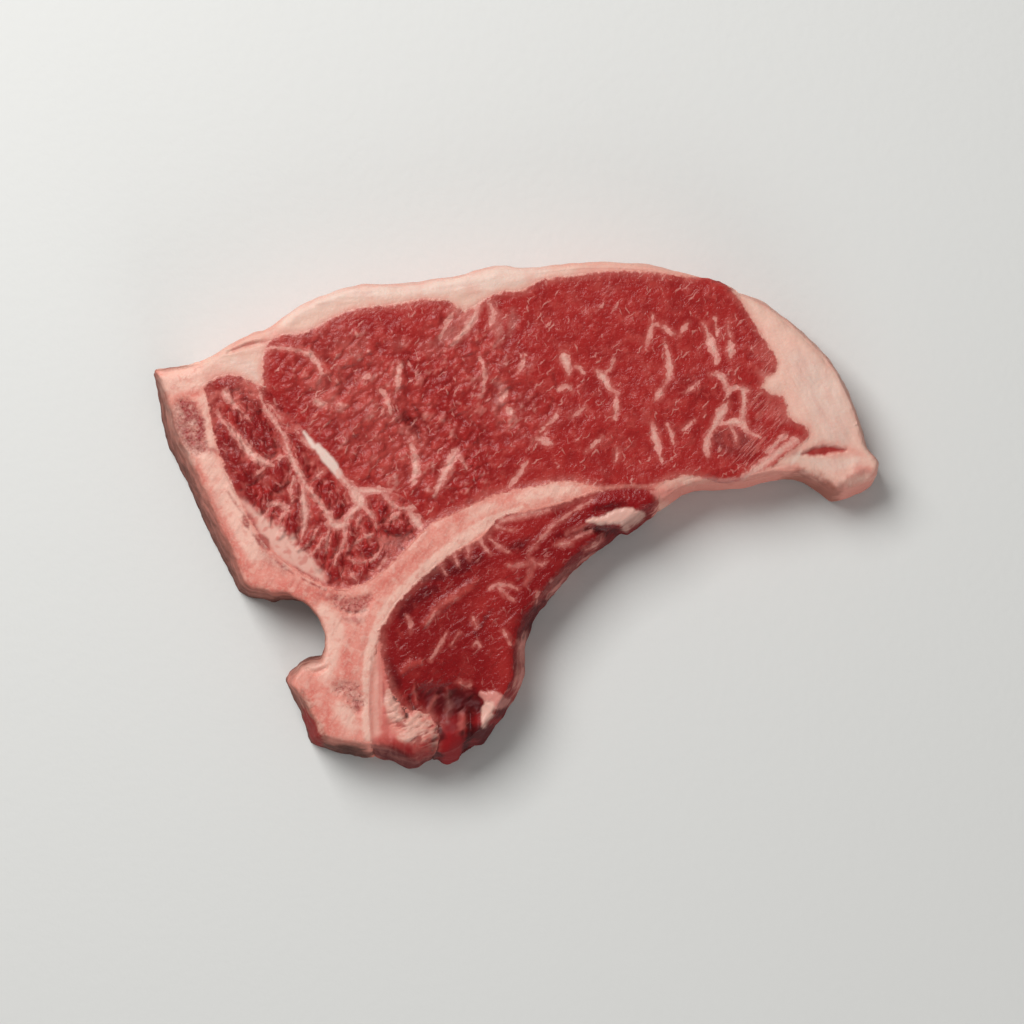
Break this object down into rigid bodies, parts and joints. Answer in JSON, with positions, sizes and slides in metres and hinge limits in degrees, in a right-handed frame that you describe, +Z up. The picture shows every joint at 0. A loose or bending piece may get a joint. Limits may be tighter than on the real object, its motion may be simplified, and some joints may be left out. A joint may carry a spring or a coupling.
{
  "type": "t-bone steak",
  "caption": "Raw T-bone steak lying flat: strip loin and tenderloin on either side of a sawn T-shaped bone, with a fat cap, a fat tail and a halved spinal canal.",
  "frame": {"origin": "centre of the bounding box, on the lower cut face", "axes": "+X along the steak's length from the spine to the fat tail, +Y towards the fat cap, +Z up through the thickness"},
  "size_m": [0.209, 0.1462, 0.022],
  "materials": {
    "sawn_bone": "moist sawn bone, pink spongy middle with a paler hard rim",
    "suet": "lumpy moist kidney fat",
    "cap_fat": "smooth cut fat",
    "tail_fat": "smooth cut fat with faint strands",
    "tenderloin_muscle": "moist raw muscle, fine grain",
    "spinal_muscle": "moist raw muscle in coarse bundles",
    "strip_loin_muscle": "moist raw muscle, marbled"
  },
  "bodies": {
    "root": {"bone": "sawn_bone", "suet": "suet", "fat_cap": "cap_fat", "tail_fat": "tail_fat", "tenderloin": "tenderloin_muscle", "spinal_muscle": "spinal_muscle", "strip_loin": "strip_loin_muscle"}
  },
  "joints": []
}
